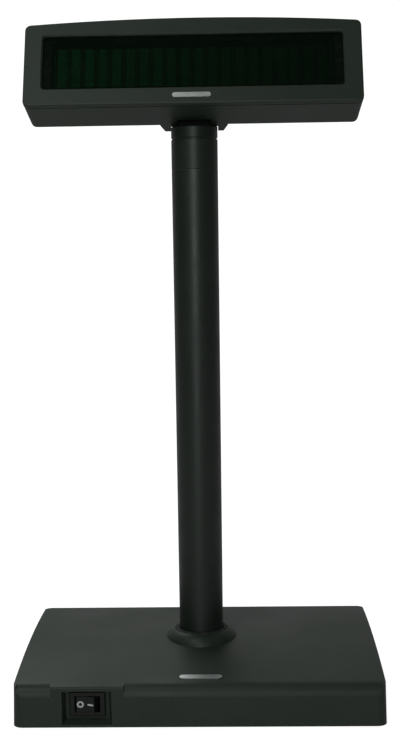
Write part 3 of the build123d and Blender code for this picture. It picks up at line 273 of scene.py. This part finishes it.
def mesh_metal(name, colour):
    """The tube's grids: an etched mesh, part open, with painted shade darkening it towards the
    right.

    Dark lines of painted shade, for the shaded gaps between the grids, repeat at the column pitch
    from x = 0. The columns are centred on x = -1.5 mm, so the lines lie 1.5 mm to the right of the
    gaps between the grids.
    """
    f = Finish(name, colour, 0.45, 0.6)
    holes = f.node("ShaderNodeTexVoronoi", feature="DISTANCE_TO_EDGE")
    holes.inputs["Scale"].default_value = 1 / (0.55 * MM)
    holes.inputs["Randomness"].default_value = 0.15
    f.link(f.place, holes.inputs["Vector"])
    f.link(f.spread(holes.outputs["Distance"], 0.1, 0.16, 1.0, 0.3), f.shader.inputs["Alpha"])
    darker = tuple(0.55 * c for c in colour)
    f.tint(f.spread(f.noise(6 * MM, 3), 0.35, 0.7), darker, 0.6)
    across = f.node("ShaderNodeSeparateXYZ")
    f.link(f.place, across.inputs[0])
    # painted shade: the grids darken towards the right, for the light falling off across the window
    painted_shade_right = f.spread(across.outputs["X"], GRIDS_SHADE_START_X, GRIDS_SHADE_FULL_X)
    f.tint(painted_shade_right, tuple(0.2 * c for c in colour))
    # painted shade: near-black lines on the grids for the shaded gaps between them
    column = f.math("FRACT", f.math("MULTIPLY", across.outputs["X"], 1 / COLUMN_PITCH))
    border = f.math("ABSOLUTE", f.math("SUBTRACT", column, 0.5))
    gap_shade = f.spread(f.math("SUBTRACT", 0.5, border), 0.13, 0.05)
    f.tint(gap_shade, (0.001, 0.006, 0.003), 0.9)
    f.rough(f.noise(1.0 * MM, 2), 0.1)
    return f.done()


finishes = {
    "case_plastic": moulded("case_plastic", (0.0175, 0.0245, 0.0180), 0.5, spec=0.35),
    "pole_paint": coated("pole_paint", PAINT, 0.42),
    # the neck's finish paints shade over the stem higher than the collar's top
    "neck_casting": casting_with_painted_shade("neck_casting", PAINT),
    "bush_plastic": moulded("bush_plastic", (0.0075, 0.0115, 0.0082), 0.42, spec=0.4),
    "zinc_steel": metal("zinc_steel", (0.62, 0.62, 0.59), 0.34, (0.15, 1, 1), 0.3),
    "ballast_iron": metal("ballast_iron", (0.10, 0.10, 0.10), 0.6, tarnish=0.5),
    "black_rubber": soft("black_rubber", (0.022, 0.022, 0.021)),
    "filter_acrylic": pane("filter_acrylic", (0.0003, 0.0060, 0.0018), 0.5),
    "tube_glass": pane("tube_glass", (0.004, 0.02, 0.009), 0.3),
    "tube_frit": moulded("tube_frit", (0.006, 0.012, 0.008), 0.7, depth=0.01 * MM, wear=0),
    # the grids' finish paints shade towards the right and along the gaps between the grids
    "grid_metal": mesh_metal("grid_metal", (0.04, 0.95, 0.26)),
    "tube_phosphor": powder("tube_phosphor", (0.14, 0.34, 0.18)),
    "tungsten_wire": metal("tungsten_wire", (0.05, 0.06, 0.05), 0.6),
    "tinned_metal": metal("tinned_metal", (0.72, 0.72, 0.70), 0.28, (1, 1, 0.2)),
    "screw_steel": metal("screw_steel", (0.48, 0.47, 0.44), 0.32, tarnish=0.35, wear=0.4),
    "port_steel": metal("port_steel", (0.66, 0.65, 0.62), 0.22, (0.2, 1, 1), wear=0.3),
    "contact_gold": metal("contact_gold", (0.83, 0.62, 0.25), 0.25),
    "board_laminate": laminate("board_laminate", (0.02, 0.11, 0.045)),
    "component_black": moulded("component_black", (0.02, 0.02, 0.021), 0.55, wear=0.1),
    "component_can": metal("component_can", (0.7, 0.7, 0.72), 0.3, (1, 1, 0.1)),
    "header_nylon": moulded("header_nylon", (0.72, 0.68, 0.56), 0.5, depth=0.006 * MM, wear=0.1),
    "switch_plastic": moulded("switch_plastic", (0.0045, 0.0060, 0.0048), 0.3, grain=0.3 * MM,
                              depth=0.004 * MM, wear=0.15, spec=0.35),
    "mark_white": powder("mark_white", (0.62, 0.64, 0.64)),
    "cable_jacket": soft("cable_jacket", (0.025, 0.025, 0.026), 0.5),
    "lead_red": soft("lead_red", (0.42, 0.03, 0.02), 0.42),
    "badge_silver": metal("badge_silver", (0.70, 0.71, 0.71), 0.36, (0.2, 1, 1), 0.15),
}

slot_of = {row["node"]: row["material_slot"] for row in frame["record"]["subparts"]}
for name, obj in nodes.items():
    if not obj.material_slots:
        obj.data.materials.append(None)
    for held in obj.material_slots:
        held.material = finishes[slot_of[name]]
# the gasket is black foam, and the rear glass is coated black behind the anodes
own_finishes = {
    "display_gasket": soft("black_foam", (0.002, 0.004, 0.003)),
    "tube_back_glass": pane("coated_glass", (0.001, 0.003, 0.002), 1),
}
for name, finish in own_finishes.items():
    nodes[name].material_slots[0].material = finish


# ---------------------------------------------------------------- floor, light, camera
def glow(tree, socket, dim, full):
    """The stage looks full bright, but lights the object only dimly, as an overexposed one does."""
    path = tree.nodes.new("ShaderNodeLightPath")
    strength = tree.nodes.new("ShaderNodeMapRange")
    strength.inputs["To Min"].default_value = dim
    strength.inputs["To Max"].default_value = full
    tree.links.new(path.outputs["Is Camera Ray"], strength.inputs["Value"])
    tree.links.new(strength.outputs["Result"], socket)


def set_world():
    """A dim white room, so that the soft lights shape the object."""
    world = bpy.data.worlds.new("studio")
    world.use_nodes = True
    background = world.node_tree.nodes["Background"]
    background.inputs["Color"].default_value = (1, 1, 1, 1)
    glow(world.node_tree, background.inputs["Strength"], WORLD_DIM, WORLD_FULL)
    bpy.context.scene.world = world


def sweep_backdrop():
    """A pale floor that curves up into a wall behind."""
    profile = [(FLOOR_FRONT_Y, 0.0), (BEND_Y, 0.0)]
    for step in range(1, BEND_STEPS + 1):
        turn = math.radians(90 * step / BEND_STEPS)
        profile.append((BEND_Y + BEND_R * math.sin(turn), BEND_R * (1 - math.cos(turn))))
    profile.append((BEND_Y + BEND_R, WALL_TOP))
    mesh = bmesh.new()
    sides = (-BACKDROP_HALF_W, BACKDROP_HALF_W)
    rows = [[mesh.verts.new((x, y, z)) for x in sides] for y, z in profile]
    for one, two in zip(rows, rows[1:]):
        mesh.faces.new((one[0], one[1], two[1], two[0])).smooth = True
    data = bpy.data.meshes.new("backdrop")
    mesh.to_mesh(data)
    mesh.free()
    obj = bpy.data.objects.new("backdrop", data)
    bpy.context.scene.collection.objects.link(obj)
    f = Finish("backdrop_paper", (0.42, 0.42, 0.42), 0.85, Specular_IOR_Level=0.1)
    f.tint(f.noise(0.4, 2), (0.40, 0.40, 0.405), 0.5)
    f.shader.inputs["Emission Color"].default_value = (1, 1, 1, 1)
    glow(f.tree, f.shader.inputs["Emission Strength"], STAGE_DIM, STAGE_FULL)
    data.materials.append(f.done())


def softbox(name, place, target, size, power):
    """A rectangular area light that faces target."""
    data = bpy.data.lights.new(name, "AREA")
    data.shape = "RECTANGLE"
    data.size, data.size_y = size
    data.energy = power
    data.color = LIGHT_COLOUR
    obj = bpy.data.objects.new(name, data)
    bpy.context.scene.collection.objects.link(obj)
    obj.location = place
    direction = Vector(target) - Vector(place)
    obj.rotation_euler = direction.to_track_quat("-Z", "Y").to_euler()


def set_camera():
    """Camera in front of the object and a little above, looking slightly down."""
    yaw, down, roll = (math.radians(a) for a in (CAMERA_YAW, CAMERA_DOWN, CAMERA_ROLL))
    ahead = Vector((math.sin(yaw) * math.cos(down), math.cos(yaw) * math.cos(down),
                    -math.sin(down)))
    right = Vector((math.cos(yaw), -math.sin(yaw), 0))
    up = right.cross(ahead)
    across = math.cos(roll) * right + math.sin(roll) * up
    upward = -math.sin(roll) * right + math.cos(roll) * up
    turn = Matrix((across, upward, -ahead)).transposed().to_4x4()
    data = bpy.data.cameras.new("view")
    data.lens = CAMERA_LENS
    data.shift_y = CAMERA_SHIFT_Y
    obj = bpy.data.objects.new("view", data)
    bpy.context.scene.collection.objects.link(obj)
    obj.matrix_world = Matrix.Translation(CAMERA_PLACE) @ turn
    bpy.context.scene.camera = obj


sweep_backdrop()
for name, settings in SOFTBOXES.items():
    softbox(name, *settings)
set_world()
bpy.context.scene.view_settings.view_transform = "Standard"
set_camera()
